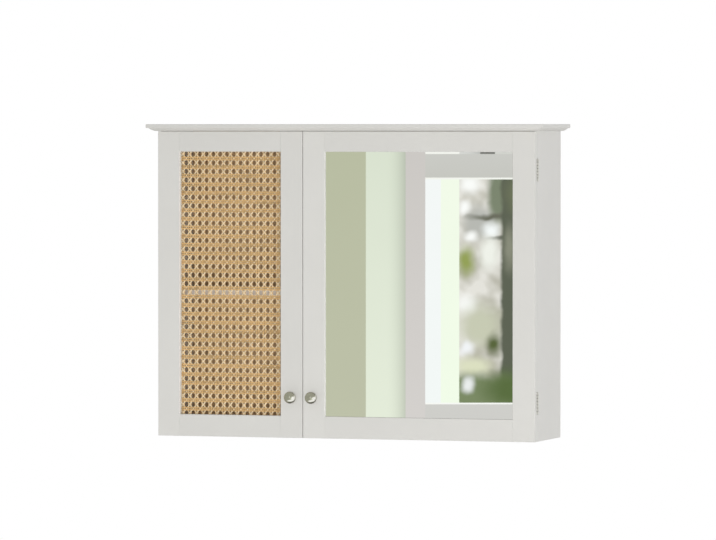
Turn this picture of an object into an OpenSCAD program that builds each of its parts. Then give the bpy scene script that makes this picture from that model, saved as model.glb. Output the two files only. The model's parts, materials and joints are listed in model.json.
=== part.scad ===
// Wall-hung bathroom cabinet with a woven cane door and a mirror door under a moulded top.
// X runs to the right, Y runs back into the wall and Z runs up.
// The origin is the middle of the four wall screws, on the rear plane.

/* [Case] */
// Width across the two side panels
case_w = 755; // [640:1:900]
// Height of the side panels, up to the underside of the moulded top
case_h = 587; // [500:1:750]
// Depth of the side panels, from the wall to their front edges
case_d = 162; // [140:1:240]
// Thickness of the side panels, the bottom and the partition
board_t = 15; // [15:0.5:19]
// Thickness of the back panel
back_t = 3; // [2.5:0.5:5]
// Depth of the groove that holds the back panel
groove_depth = 5; // [3:0.5:7]
// Thickness of the two wall rails behind the back panel
wall_rail_t = 15; // [12:0.5:20]
// Height of the two wall rails
wall_rail_h = 60; // [45:1:80]
// Distance of each wall screw from the middle of the cabinet
wall_screw_x = 280; // [200:1:290]
// Radius of the wall screw holes
wall_screw_r = 2.75; // [2.25:0.25:3.5]

/* [Shelves] */
// Height of the underside of both shelves above the bottom of the case
shelf_z = 268; // [180:1:360]
// Thickness of a shelf
shelf_t = 15; // [12:0.5:19]
// Distance from the front edges of the sides back to the front of a shelf
shelf_setback = 12; // [10:1:40]
// Play between the end of a shelf and the panel beside it
shelf_play = 1; // [0.5:0.1:2]
// Number of heights that the shelf pins can stand at
pin_rows = 5; // [1:2:7]
// Distance between the pin heights
pin_pitch = 32; // [20:1:40]
// Radius of a shelf pin
pin_r = 2.5; // [2:0.25:3]
// Depth of a shelf pin hole
pin_hole_depth = 7; // [5:0.5:7]
// Length of a shelf pin that carries the shelf
pin_reach = 9; // [7:0.5:12]
// Radius of the collar on a shelf pin
pin_collar_r = 4; // [3.5:0.25:5]
// Thickness of the collar on a shelf pin
pin_collar_t = 0.8; // [0.4:0.1:0.8]
// Distance of the pin rows from the front and back of the partition
pin_row_inset = 32; // [20:1:45]

/* [Moulded top] */
// Thickness of the top
top_t = 13; // [12:0.5:19]
// Reach of the top past the side panels
top_side_reach = 19; // [16:1:35]
// Reach of the top past the front of the doors
top_front_reach = 18; // [5:1:30]
// Height of the square upper part of the nose
nose_h = 6; // [3:0.5:6]
// Radius of the rounded lower part of the nose
nose_r = 1.5; // [1.5:0.5:3]
// Width of the flat step under the nose
nose_step = 3; // [1:0.5:4]
// Distance from the nose back to where the lower curve meets the underside
mould_run = 17.5; // [14:0.5:22]
// How far the lower curve of the moulding bulges out
mould_bulge = 1.5; // [1:0.1:2.2]

/* [Doors] */
// Width of the left door
left_door_w = 293; // [240:1:340]
// Gap between the two doors
door_gap = 1; // [0.8:0.1:5]
// Gap between the doors and the front edges of the case
door_back_gap = 1; // [0.8:0.1:2]
// Gap between the doors and the top
door_top_gap = 0.6; // [0.6:0.1:4]
// Thickness of the door frames
door_t = 15; // [15:0.5:19]
// Width of the upright frame members
stile_w = 44; // [41:1:60]
// Height of the top frame member
top_rail_w = 39; // [38:1:60]
// Height of the bottom frame member
bottom_rail_w = 42; // [38:1:60]
// Size of the eased edges on the boards
edge_ease = 0.6; // [0.5:0.1:1.5]
// Width of the hairline between an upright and a cross member
joint_line = 0.15; // [0.1:0.05:0.5]
// Length of the tenon on the end of a cross member
tenon_l = 12; // [8:1:20]
// Thickness of a tenon
tenon_t = 6; // [4:0.5:7]
// Height of a tenon
tenon_h = 16; // [10:1:18]
// Distance from the outer edge of a cross member to its tenon
tenon_inset = 8; // [5:1:9]

/* [Cane panel] */
// Thickness of the cane webbing
cane_t = 2; // [1.5:0.1:2.5]
// Distance from the front of the door back to the cane
cane_recess = 10; // [5:0.5:12]
// Width of the rebate round the cane
cane_rebate_w = 12; // [8:1:12]
// Number of holes across the webbing
cane_columns = 10; // [6:1:10]
// Number of rows of holes
cane_rows = 24; // [12:1:24]
// Share of the pitch that a hole takes up
cane_hole_share = 0.56; // [0.4:0.02:0.7]

/* [Mirror] */
// Thickness of the mirror glass
mirror_t = 4; // [3:0.5:5]
// Distance from the front of the door back to the glass
mirror_recess = 4; // [3:0.5:8]
// Width of the rebate round the mirror
mirror_rebate_w = 9; // [7:1:12]
// Play round the glass in its rebate
mirror_play = 1; // [0.5:0.1:1.5]
// Length of a mirror clip
clip_l = 22; // [18:1:26]
// Width of a mirror clip
clip_w = 10; // [8:1:14]
// Thickness of a mirror clip
clip_t = 1.2; // [0.8:0.1:1.6]

/* [Hinges] */
// Height of a hinge
hinge_h = 42; // [36:1:60]
// Distance from the end of the door to the hinge
hinge_inset = 52; // [45:0.5:90]
// Number of knuckles on a hinge, an odd number
knuckles = 7; // [5:2:9]
// Outside radius of a knuckle
knuckle_r = 2.4; // [2.2:0.1:3]
// Radius of the hinge pin
hinge_pin_r = 1.2; // [1:0.1:1.5]
// Distance of the hinge pin out from the side of the case
pivot_out = 0.5; // [0.3:0.1:1.5]
// Thickness of a hinge leaf
leaf_t = 1; // [0.8:0.1:1.2]
// Width of a hinge leaf, from the pin to its edge
leaf_w = 13.5; // [12:0.5:14.5]
// Gap between two closed hinge leaves
leaf_gap = 0.2; // [0.1:0.05:0.4]

/* [Knobs] */
// Radius of a knob
knob_r = 11.5; // [8:0.1:14]
// How far a knob stands out from the door
knob_reach = 20.5; // [19:0.5:26]
// Distance from the door to the front of a knob's rim
knob_rim_z = 15.5; // [14:0.5:17]
// Thickness of a knob's rim
knob_rim_t = 7; // [5:0.5:8]
// Radius of the foot of a knob
knob_foot_r = 6.5; // [6:0.1:7.5]
// Radius of the waist of a knob
knob_waist_r = 4.6; // [4:0.1:5.5]
// Thickness of the foot of a knob
knob_foot_h = 1.8; // [1.2:0.1:3]
// Distance of a knob from the meeting edge of its door
knob_inset = 20.5; // [16:0.5:26]
// Height of the knobs above the bottom of the doors
knob_z = 78; // [70:1:160]

/* [Catches] */
// Length of a magnetic catch
catch_l = 38; // [30:1:50]
// Depth of a magnetic catch
catch_d = 14; // [12:0.5:18]
// Height of a magnetic catch
catch_h = 12; // [10:0.5:14]
// Thickness of the strike plate on a door
strike_t = 1.2; // [0.8:0.1:1.3]
// Gap between a closed strike plate and its magnet
strike_gap = 0.3; // [0.1:0.1:0.5]

/* [Hidden] */
$fn = 48;

// How far a cut runs past the face that it starts from
over = 1;
// Clearance round a screw, bolt or dowel in its hole
hole_play = 0.05;
// Clearance between a hinge pin and the knuckles that turn on it
pin_play = 0.06;
// Clearance between knuckles, and round a barrel in the wood
knuckle_play = 0.5;
// Clearance at the faces of the back panel in its groove
panel_play = 0.1;

// Places shared by the pieces
case_x = case_w / 2;
inner_x = case_x - board_t;
door_h = case_h - door_top_gap;
door_back_y = -case_d - door_back_gap;
door_front_y = door_back_y - door_t;
right_door_w = case_w - left_door_w - door_gap;
part_x = -case_x + left_door_w + door_gap / 2;
groove_w = back_t + 2 * panel_play;
groove_front_y = -wall_rail_t - groove_w;
upper_rail_z = case_h - wall_rail_h / 2;
lower_rail_z = board_t + wall_rail_h / 2;
frame_z = (upper_rail_z + lower_rail_z) / 2;
pivot_x = case_x + pivot_out;
pivot_y = -case_d - door_back_gap / 2;
hinge_zs = [hinge_inset + hinge_h / 2, door_h - hinge_inset - hinge_h / 2];
leaf_screw_x = leaf_w * 0.62;
leaf_screw_z = hinge_h * 0.3;
shelf_front_y = -case_d + shelf_setback;

// Sizes of the bought-in fasteners
cam_r = 7.5;
cam_depth = 12.3;
cam_setback = 24;
cam_inset = 34;
bolt_r = 3;
bolt_thread_r = 2.4;
bolt_bite = 10;
dowel_r = 4;
dowel_bite = 9;
dowel_reach = 20;
wood_screw_r = 1.3;
wood_screw_head_r = 2.5;
wood_screw_l = 12;
small_screw_r = 1.2;
small_screw_head_r = 2.6;
small_screw_head_h = 1.4;
small_screw_l = 9;
knob_screw_r = 2;
knob_screw_head_r = 4;
knob_screw_head_h = 2.2;
knob_screw_grip = 9;
bumper_r = 2.7;
bumper_inset = 3.2;

// Colours
white_paint = "#d8d6d1";
white_board = "#e4e3df";
zinc = "#b9bab8";
steel = "#9fa1a0";
nickel = "#a9a9a0";
cane_colour = "#d9b279";

// Helpers

// Sweeps a profile drawn in Y and Z along X, from X = 0
module along_x(length) {
  rotate([90, 0, 90])
    linear_extrude(length)
      children();
}

// Sweeps a profile drawn in X and Z along Y, from Y = 0 towards the front
module along_y(length) {
  rotate([90, 0, 0])
    linear_extrude(length)
      children();
}

// A rectangle from the origin whose two corners on the Y = 0 side are eased
module eased_plan(width, depth) {
  polygon([
    [0, edge_ease], [edge_ease, 0], [width - edge_ease, 0],
    [width, edge_ease], [width, depth], [0, depth]
  ]);
}

// Points along an arc from a to b that bulges to the left of the way from a to b
function arc_points(a, b, bulge, steps) =
  let (
    chord = b - a,
    half = norm(chord) / 2,
    across = [-chord[1], chord[0]] / norm(chord),
    radius = (half * half + bulge * bulge) / (2 * bulge),
    centre = (a + b) / 2 - across * (radius - bulge),
    start = atan2(a[1] - centre[1], a[0] - centre[0]),
    sweep = 2 * asin(half / radius)
  )
  [for (i = [0 : steps]) centre + radius * [cos(start - sweep * i / steps), sin(start - sweep * i / steps)]];

// A rod along X, from one X to another
module rod_x(from, to, r) {
  translate([from, 0, 0])
    rotate([0, 90, 0])
      cylinder(h = to - from, r = r);
}

// Case joinery

cam_ys = [-case_d + cam_inset, groove_front_y - cam_inset];
dowel_y = (cam_ys[0] + cam_ys[1]) / 2;

// Places a fitting at each joint of the case: X points into the board with the cam, Z out of its pocket
module at_case_joints(ys) {
  for (side = [-1, 1], y = ys) {
    translate([side * inner_x, y, board_t / 2])
      rotate([0, 0, side > 0 ? 180 : 0])
        rotate([180, 0, 0])
          children();
    translate([side * (case_x - board_t / 2), y, case_h])
      rotate([0, 0, side > 0 ? 180 : 0])
        rotate([0, 90, 0])
          children();
  }
  for (y = ys) {
    translate([part_x, y, case_h])
      rotate([0, 90, 0])
        children();
    translate([part_x, y, board_t])
      rotate([0, 0, 180])
        rotate([0, -90, 0])
          children();
  }
}

// Places a dowel at both ends of the two wall rails
module at_wall_rail_dowels() {
  for (side = [-1, 1], rail_z = [upper_rail_z, lower_rail_z], step = [-1, 1])
    translate([side * inner_x, -wall_rail_t / 2, rail_z + step * wall_rail_h * 0.28])
      rotate([0, 0, side > 0 ? 180 : 0])
        children();
}

// Room for a cam and its bolt
module cam_cut() {
  translate([cam_setback, 0, board_t / 2 - cam_depth])
    cylinder(h = cam_depth + over, r = cam_r);
  rod_x(-over, cam_setback, bolt_r + 4 * hole_play);
  rod_x(-bolt_bite - hole_play, 0, bolt_thread_r + hole_play);
}

// Room for a dowel across a joint
module dowel_cut() {
  rod_x(-dowel_bite - hole_play, dowel_reach + hole_play, dowel_r + hole_play);
}

// Everything that the joints take out of the case boards
module joinery_cuts() {
  at_case_joints(cam_ys)
    cam_cut();
  at_case_joints([dowel_y])
    dowel_cut();
  at_wall_rail_dowels()
    dowel_cut();
}

// A cam disc with its cross slot and the mouth that grips the bolt
module cam_disc() {
  disc_h = cam_depth - 0.3;
  slot = [cam_r * 1.2, 1.6, 1.6];
  translate([cam_setback, 0, board_t / 2 - cam_depth])
    difference() {
      cylinder(h = disc_h, r = cam_r - 2 * hole_play);
      translate([0, 0, disc_h - slot[2] / 2])
        for (turn = [0, 90])
          rotate([0, 0, turn])
            cube([slot[0], slot[1], slot[2]], center = true);
      translate([0, 0, cam_depth - board_t / 2])
        rod_x(-cam_r - over, 0, bolt_r + hole_play);
    }
}

// A cam bolt: its thread bites into the next board and its head ends inside the cam
module cam_bolt() {
  rod_x(-bolt_bite, 0, bolt_thread_r);
  rod_x(0, cam_setback - cam_r / 2, bolt_r - 0.4);
  rod_x(cam_setback - cam_r / 2, cam_setback - 0.3, bolt_r - hole_play);
}

module cam_locks() {
  color(zinc)
    at_case_joints(cam_ys)
      cam_disc();
}

module cam_bolts() {
  color(steel)
    at_case_joints(cam_ys)
      cam_bolt();
}

module dowels() {
  color("burlywood") {
    at_case_joints([dowel_y])
      rod_x(-dowel_bite, dowel_reach, dowel_r);
    at_wall_rail_dowels()
      rod_x(-dowel_bite, dowel_reach, dowel_r);
  }
}

// Case boards

// The groove that holds the back panel, cut all round the inside of the case
module back_groove() {
  grooved_w = 2 * (inner_x + groove_depth);
  translate([-grooved_w / 2, groove_front_y, board_t - groove_depth])
    cube([grooved_w, groove_w, case_h - board_t + 2 * groove_depth]);
}

pin_ys = [-case_d + pin_row_inset, groove_front_y - pin_row_inset];

// Places shelf pins on the faces at both ends of a bay
module at_pins(left_face_x, right_face_x, heights) {
  for (y = pin_ys, z = heights) {
    translate([left_face_x, y, z])
      children();
    translate([right_face_x, y, z])
      rotate([0, 0, 180])
        children();
  }
}

pin_z = shelf_z - pin_r;
pin_heights = [for (i = [0 : pin_rows - 1]) pin_z + (i - (pin_rows - 1) / 2) * pin_pitch];
left_bay = [-inner_x, part_x - board_t / 2];
right_bay = [part_x + board_t / 2, inner_x];

// The rows of holes that let the shelves be moved
module pin_holes() {
  for (bay = [left_bay, right_bay])
    at_pins(bay[0], bay[1], pin_heights)
      rod_x(-pin_hole_depth, over, pin_r + hole_play);
}

// A side panel at the given side, -1 for left and 1 for right
module side_panel(side) {
  color(white_paint)
    difference() {
      translate([side > 0 ? inner_x : -case_x, -case_d, 0])
        linear_extrude(case_h)
          eased_plan(board_t, case_d);
      back_groove();
      pin_holes();
      joinery_cuts();
      at_hinges(side)
        case_hinge_cut();
    }
}

module centre_partition() {
  partition_d = case_d + groove_front_y;
  color(white_board)
    difference() {
      translate([part_x - board_t / 2, -case_d, board_t])
        cube([board_t, partition_d, case_h - board_t]);
      pin_holes();
      joinery_cuts();
    }
}

module bottom_panel() {
  color(white_board)
    difference() {
      translate([-inner_x, -case_d, 0])
        cube([2 * inner_x, case_d, board_t]);
      back_groove();
      joinery_cuts();
    }
}

module back_panel() {
  panel_w = 2 * (inner_x + groove_depth - 2 * panel_play);
  panel_h = case_h - board_t + 2 * (groove_depth - 2 * panel_play);
  color(white_board)
    difference() {
      translate([-panel_w / 2, groove_front_y + panel_play, board_t - groove_depth + 2 * panel_play])
        cube([panel_w, back_t, panel_h]);
      wall_screw_holes();
    }
}

// The four holes that the wall screws pass through
module wall_screw_holes() {
  for (side = [-1, 1], z = [upper_rail_z, lower_rail_z])
    translate([side * wall_screw_x, over, z])
      rotate([90, 0, 0])
        cylinder(h = wall_rail_t + groove_w + 2 * over, r = wall_screw_r);
}

// A rail behind the back panel, centred at the given height
module wall_rail(centre_z) {
  color("tan")
    difference() {
      translate([-inner_x, -wall_rail_t, centre_z - wall_rail_h / 2])
        cube([2 * inner_x, wall_rail_t, wall_rail_h]);
      wall_screw_holes();
      joinery_cuts();
    }
}

// A shelf that fills a bay between two faces, resting on its pins
module shelf(bay) {
  shelf_d = groove_front_y - shelf_front_y - shelf_play;
  color(white_board)
    translate([bay[0] + shelf_play, shelf_front_y, shelf_z])
      along_x(bay[1] - bay[0] - 2 * shelf_play)
        polygon([
          [edge_ease, 0], [shelf_d, 0], [shelf_d, shelf_t], [edge_ease, shelf_t],
          [0, shelf_t - edge_ease], [0, edge_ease]
        ]);
}

// The four pins under one shelf
module shelf_pins(bay) {
  color(zinc)
    at_pins(bay[0], bay[1], [pin_z]) {
      rod_x(-pin_hole_depth + 0.5, pin_reach, pin_r);
      rod_x(0, pin_collar_t, pin_collar_r);
    }
}

// Moulded top

// Half of the edge profile: out from the case along the first axis, up along the second.
// A square nose with an eased top edge ends in a round, steps in and curves back to the underside.
function mould_points(reach) =
  let (
    nose_bottom = top_t - nose_h,
    step_z = nose_bottom - nose_r
  )
  concat(
    [[reach - edge_ease, top_t], [reach, top_t - edge_ease], [reach, nose_bottom]],
    [for (turn = [15 : 15 : 90]) [
      reach - nose_r + nose_r * cos(turn),
      nose_bottom - nose_r * sin(turn)
    ]],
    arc_points([reach - nose_r - nose_step, step_z], [reach - mould_run, 0], mould_bulge, 7)
  );

module moulded_top() {
  front_edge = [for (p = mould_points(top_front_reach)) [door_front_y - p[0], p[1]]];
  right_edge = [for (p = mould_points(top_side_reach)) [case_x + p[0], p[1]]];
  left_edge = [for (i = [len(right_edge) - 1 : -1 : 0]) [-right_edge[i][0], right_edge[i][1]]];
  color(white_paint)
    difference() {
      translate([0, 0, case_h])
        intersection() {
          translate([-case_w, 0, 0])
            along_x(2 * case_w)
              polygon(concat([[0, 0], [0, top_t]], front_edge));
          along_y(2 * case_d + 2 * door_t)
            polygon(concat(right_edge, left_edge));
        }
      back_groove();
      joinery_cuts();
      catch_screw_holes();
    }
}

// Hinges

// Places a hinge at both heights on one side: X points into the case, Y points back
module at_hinges(side, zs = hinge_zs) {
  for (z = zs)
    translate([0, pivot_y, z])
      mirror([side > 0 ? 1 : 0, 0, 0])
        translate([-pivot_x, 0, 0])
          children();
}

// Places the two screws of a leaf: Z points into the wood, from the face of the leaf
module at_leaf_screws() {
  for (step = [-1, 1])
    translate([leaf_screw_x, leaf_gap / 2, step * leaf_screw_z])
      rotate([-90, 0, 0])
        children();
}

// Room for the barrel, the leaf and its screws in the board behind the pin
module case_hinge_cut() {
  translate([0, 0, -hinge_h / 2 - knuckle_play])
    cylinder(h = hinge_h + 2 * knuckle_play, r = knuckle_r + knuckle_play);
  translate([-over, -over, -hinge_h / 2 - hole_play])
    cube([leaf_w + over + hole_play, leaf_gap / 2 + leaf_t + over, hinge_h + 2 * hole_play]);
  at_leaf_screws()
    cylinder(h = leaf_t + wood_screw_l + hole_play, r = wood_screw_r + hole_play);
}

// The same room in the door, in front of the pin
module door_hinge_cut() {
  mirror([0, 1, 0])
    case_hinge_cut();
}

// A countersunk screw with its head flush with the leaf
module leaf_screw() {
  cylinder(h = leaf_t, r1 = wood_screw_head_r, r2 = wood_screw_r);
  cylinder(h = leaf_t + wood_screw_l, r = wood_screw_r);
}

// One leaf behind the pin, holding every second knuckle from the given one
module hinge_leaf(first_knuckle, bore_play) {
  pitch = hinge_h / knuckles;
  difference() {
    union() {
      translate([0, leaf_gap / 2, -hinge_h / 2])
        cube([leaf_w, leaf_t, hinge_h]);
      for (i = [first_knuckle : 2 : knuckles - 1])
        translate([0, 0, -hinge_h / 2 + i * pitch])
          cylinder(h = pitch, r = knuckle_r);
    }
    for (i = [1 - first_knuckle : 2 : knuckles - 1])
      translate([0, 0, -hinge_h / 2 + i * pitch - knuckle_play / 2])
        cylinder(h = pitch + knuckle_play, r = knuckle_r + knuckle_play);
    translate([0, 0, -hinge_h / 2 - over])
      cylinder(h = hinge_h + 2 * over, r = hinge_pin_r + bore_play);
    at_leaf_screws()
      translate([0, 0, -hole_play])
        cylinder(
          h = leaf_t + 2 * hole_play,
          r1 = wood_screw_head_r + hole_play,
          r2 = wood_screw_r + hole_play
        );
  }
}

module case_leaf(side, index) {
  color(steel)
    at_hinges(side, [hinge_zs[index]])
      hinge_leaf(0, hole_play / 2);
}

module door_leaf(side, index) {
  color(steel)
    at_hinges(side, [hinge_zs[index]])
      mirror([0, 1, 0])
        hinge_leaf(1, pin_play);
}

module hinge_pin(side, index) {
  color(steel)
    at_hinges(side, [hinge_zs[index]])
      translate([0, 0, -hinge_h / 2])
        cylinder(h = hinge_h, r = hinge_pin_r);
}

module case_hinge_screws() {
  color(zinc)
    for (side = [-1, 1])
      at_hinges(side)
        at_leaf_screws()
          leaf_screw();
}

module door_hinge_screws(side) {
  color(zinc)
    at_hinges(side)
      mirror([0, 1, 0])
        at_leaf_screws()
          leaf_screw();
}

// Catches

// Both catches hang under the top beside the partition, -1 for left and 1 for right
function catch_x(side) = part_x + side * (board_t / 2 + 6 + catch_l / 2);
catch_front_y = door_back_y + strike_t + strike_gap;
catch_screw_x = catch_l / 2 - 5;
magnet_w = catch_l * 0.36;
magnet_h = catch_h * 0.5;
magnet_d = catch_d * 0.6;
ear_h = 3;

module at_catch_screws(side) {
  for (step = [-1, 1])
    translate([catch_x(side) + step * catch_screw_x, catch_front_y + catch_d / 2, case_h])
      children();
}

// A housing with a raised middle that holds the magnet, and a screw ear at each end
module catch_case(side) {
  body_l = 2 * (catch_screw_x - small_screw_head_r - 0.6);
  color("white")
    difference() {
      translate([catch_x(side), catch_front_y, case_h]) {
        translate([-catch_l / 2, 0, -ear_h])
          cube([catch_l, catch_d, ear_h]);
        translate([-body_l / 2, 0, -catch_h])
          cube([body_l, catch_d, catch_h]);
      }
      magnet_room(side, 2 * hole_play);
      at_catch_screws(side)
        translate([0, 0, -ear_h - over])
          cylinder(h = ear_h + 2 * over, r = small_screw_r + hole_play);
    }
}

// The magnet, or the room for it when play is more than nothing
module magnet_room(side, play) {
  front = play > 0 ? over : 0;
  translate([
    catch_x(side) - magnet_w / 2 - play,
    catch_front_y - front,
    case_h - catch_h / 2 - 1.5 - magnet_h / 2 - play
  ])
    cube([magnet_w + 2 * play, magnet_d + front + play / 2, magnet_h + 2 * play]);
}

module catch_magnets() {
  color("dimgray")
    for (side = [-1, 1])
      magnet_room(side, 0);
}

// A round-headed screw whose head lies below Z = 0 and whose shank points up
module small_screw(length = small_screw_l) {
  translate([0, 0, -small_screw_head_h])
    cylinder(h = small_screw_head_h * 0.6, r1 = small_screw_head_r * 0.75, r2 = small_screw_head_r);
  translate([0, 0, -small_screw_head_h * 0.4])
    cylinder(h = small_screw_head_h * 0.4, r = small_screw_head_r);
  cylinder(h = length, r = small_screw_r);
}

module catch_screws() {
  color(zinc)
    for (side = [-1, 1])
      at_catch_screws(side)
        translate([0, 0, -ear_h])
          small_screw();
}

// The holes that the catch screws bite into the top
module catch_screw_holes() {
  for (side = [-1, 1])
    at_catch_screws(side)
      translate([0, 0, -over])
        cylinder(h = small_screw_l - ear_h + over + hole_play, r = small_screw_r + hole_play);
}

strike_h = catch_h - 1.5;
strike_z = case_h - 1.5 - catch_h / 2;

module at_strike_screws(side) {
  for (step = [-1, 1])
    translate([catch_x(side) + step * catch_screw_x, door_back_y, strike_z])
      rotate([90, 0, 0])
        children();
}

module strike_plate(side) {
  color(zinc)
    difference() {
      translate([catch_x(side) - catch_l / 2, door_back_y, strike_z - strike_h / 2])
        cube([catch_l, strike_t, strike_h]);
      at_strike_screws(side)
        translate([0, 0, -strike_t - over])
          cylinder(h = strike_t + 2 * over, r = small_screw_r + hole_play);
    }
}

module strike_screws(side) {
  color(zinc)
    at_strike_screws(side)
      translate([0, 0, -strike_t])
        small_screw();
}

module strike_screw_holes(side) {
  at_strike_screws(side)
    translate([0, 0, -over])
      cylinder(h = small_screw_l - strike_t + over + hole_play, r = small_screw_r + hole_play);
}

// Door frames

function door_w(side) = side < 0 ? left_door_w : right_door_w;
// Where a door's hinge edge and its meeting edge stand
function hinge_edge_x(side) = side * case_x;
function lock_edge_x(side) = hinge_edge_x(side) - side * door_w(side);
function rebate_w(side) = side < 0 ? cane_rebate_w : mirror_rebate_w;
function recess(side) = side < 0 ? cane_recess : mirror_recess;
function opening_w(side) = door_w(side) - 2 * stile_w;
opening_h = door_h - bottom_rail_w - top_rail_w;

// Puts a shape drawn with its hinge edge at X = 0 and its front at Y = 0 in its door
module in_door(side) {
  translate([side * case_x, door_front_y, 0])
    mirror([side > 0 ? 1 : 0, 0, 0])
      children();
}

// The rebate that the panel sits in, cut from the back of the frame
module panel_rebate(side) {
  r = rebate_w(side);
  in_door(side)
    translate([stile_w - r, recess(side), bottom_rail_w - r])
      cube([opening_w(side) + 2 * r, door_t, opening_h + 2 * r]);
}

// A tenon, or the mortise for it when play is more than nothing
module tenon(play) {
  translate([-tenon_l - play, (door_t - tenon_t) / 2 - play, -play])
    cube([tenon_l + over + play, tenon_t + 2 * play, tenon_h + 2 * play]);
}

// Places both ends of the top and bottom cross members, with X pointing into the member
module at_rail_ends(side) {
  for (z = [tenon_inset, door_h - tenon_inset - tenon_h])
    in_door(side) {
      translate([stile_w + joint_line, 0, z])
        children();
      translate([door_w(side) - stile_w - joint_line, 0, z])
        mirror([1, 0, 0])
          children();
    }
}

module knob_screw_hole(side) {
  in_door(side)
    translate([door_w(side) - knob_inset, -over, knob_z])
      rotate([-90, 0, 0])
        cylinder(h = door_t + 2 * over, r = knob_screw_r + 2 * hole_play);
}

// Holes in the back of a frame for the screws of the mirror clips
module clip_screw_holes() {
  at_clips()
    translate([0, 0, -over])
      cylinder(h = small_screw_l - clip_t + over + hole_play, r = small_screw_r + hole_play);
}

// What the fittings and the panel take out of a frame
module frame_cuts(side) {
  panel_rebate(side);
  knob_screw_hole(side);
  strike_screw_holes(side);
  at_hinges(side)
    door_hinge_cut();
  if (side > 0)
    clip_screw_holes();
}

// The plan of an opening through a door, flared where it meets the front
module flared_plan(from, to) {
  polygon([
    [from - edge_ease, -over], [from - edge_ease, 0], [from, edge_ease], [from, door_t + over],
    [to, door_t + over], [to, edge_ease], [to + edge_ease, 0], [to + edge_ease, -over]
  ]);
}

// What two plans enclose together: the first along the door's width, the second up its height
module crossed_plans(side) {
  intersection() {
    translate([0, 0, -over])
      linear_extrude(door_h + 2 * over)
        children(0);
    translate([-over, 0, 0])
      along_x(door_w(side) + 2 * over)
        mirror([1, -1, 0])
          children(1);
  }
}

// The part of a frame that lies in a box, with eased edges that meet in mitres
module frame_part(side, from, size) {
  in_door(side)
    intersection() {
      difference() {
        crossed_plans(side) {
          eased_plan(door_w(side), door_t);
          eased_plan(door_h, door_t);
        }
        crossed_plans(side) {
          flared_plan(stile_w, door_w(side) - stile_w);
          flared_plan(bottom_rail_w, door_h - top_rail_w);
        }
      }
      translate(from)
        cube(size);
    }
}

// An upright member with its inner edge at the panel; from is its distance from the hinge edge
module stile(side, from) {
  color(white_paint)
    difference() {
      frame_part(side, [from, 0, 0], [stile_w, door_t, door_h]);
      at_rail_ends(side)
        tenon(hole_play);
      frame_cuts(side);
    }
}

// A cross member between the uprights
module cross_rail(side, bottom_z, height) {
  length = opening_w(side) - 2 * joint_line;
  color(white_paint)
    difference() {
      union() {
        frame_part(side, [stile_w + joint_line, 0, bottom_z], [length, door_t, height]);
        intersection() {
          at_rail_ends(side)
            tenon(0);
          in_door(side)
            translate([0, 0, bottom_z])
              cube([door_w(side), door_t, height]);
        }
      }
      frame_cuts(side);
    }
}

// Two soft pads that meet the front edge of the partition
module door_bumpers(side) {
  color("white")
    for (z = [tenon_inset + stile_w, door_h - 2 * stile_w])
      translate([lock_edge_x(side) + side * bumper_inset, door_back_y + door_back_gap - hole_play, z])
        rotate([90, 0, 0])
          cylinder(h = door_back_gap - hole_play, r = bumper_r);
}

// Cane panel

cane_w = opening_w(-1) + 2 * (cane_rebate_w - 0.5);
cane_h = opening_h + 2 * (cane_rebate_w - 0.5);

// A flat net of eight-sided holes that fill the opening
module cane_panel() {
  pitch_x = opening_w(-1) / cane_columns;
  pitch_z = opening_h / cane_rows;
  hole_r = min(pitch_x, pitch_z) * cane_hole_share / 2 / cos(22.5);
  color(cane_colour)
    translate([-case_x + stile_w, door_front_y + cane_recess + cane_t, bottom_rail_w])
      along_y(cane_t)
        difference() {
          translate([(opening_w(-1) - cane_w) / 2, (opening_h - cane_h) / 2])
            square([cane_w, cane_h]);
          for (i = [0 : cane_columns - 1], j = [0 : cane_rows - 1])
            translate([(i + 0.5) * pitch_x, (j + 0.5) * pitch_z])
              rotate(22.5)
                circle(r = hole_r, $fn = 8);
        }
}

// The beads behind the cane fill the rest of its rebate
bead_t = door_t - cane_recess - cane_t;
bead_w = cane_rebate_w - 0.5;

module cane_side_beads() {
  color(white_paint)
    for (x = [stile_w - bead_w, left_door_w - stile_w])
      in_door(-1)
        translate([x, cane_recess + cane_t, bottom_rail_w - bead_w])
          cube([bead_w, bead_t, cane_h]);
}

module cane_end_beads() {
  length = opening_w(-1) - 2 * hole_play;
  color(white_paint)
    for (z = [bottom_rail_w - bead_w, door_h - top_rail_w])
      in_door(-1)
        translate([stile_w + hole_play, cane_recess + cane_t, z])
          cube([length, bead_t, bead_w]);
}

// Mirror

mirror_w = opening_w(1) + 2 * (mirror_rebate_w - mirror_play);
mirror_h = opening_h + 2 * (mirror_rebate_w - mirror_play);
backing_t = door_t - mirror_recess - mirror_t;

// A sheet of the mirror's size, starting at the given depth behind the front of the door
module mirror_sheet(depth, thickness) {
  in_door(1)
    translate([(right_door_w - mirror_w) / 2, depth, bottom_rail_w - mirror_rebate_w + mirror_play])
      cube([mirror_w, thickness, mirror_h]);
}

module mirror_glass() {
  color("lightblue")
    mirror_sheet(mirror_recess, mirror_t);
}

module mirror_backing() {
  color("peru")
    mirror_sheet(mirror_recess + mirror_t, backing_t);
}

// Places two clips on each side of the mirror: Y points to the mirror, Z into the frame
module at_clips() {
  screw_reach = mirror_rebate_w + clip_w / 2 + 0.5;
  low_z = bottom_rail_w - screw_reach;
  high_z = door_h - top_rail_w + screw_reach;
  for (share = [0.22, 0.78]) {
    x = right_door_w * share;
    z = door_h * share;
    in_door(1) {
      translate([x, door_t, low_z])
        rotate([90, 0, 0])
          children();
      translate([x, door_t, high_z])
        rotate([0, 180, 0])
          rotate([90, 0, 0])
            children();
      translate([stile_w - screw_reach, door_t, z])
        rotate([0, 90, 0])
          rotate([90, 0, 0])
            children();
      translate([right_door_w - stile_w + screw_reach, door_t, z])
        rotate([0, -90, 0])
          rotate([90, 0, 0])
            children();
    }
  }
}

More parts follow.
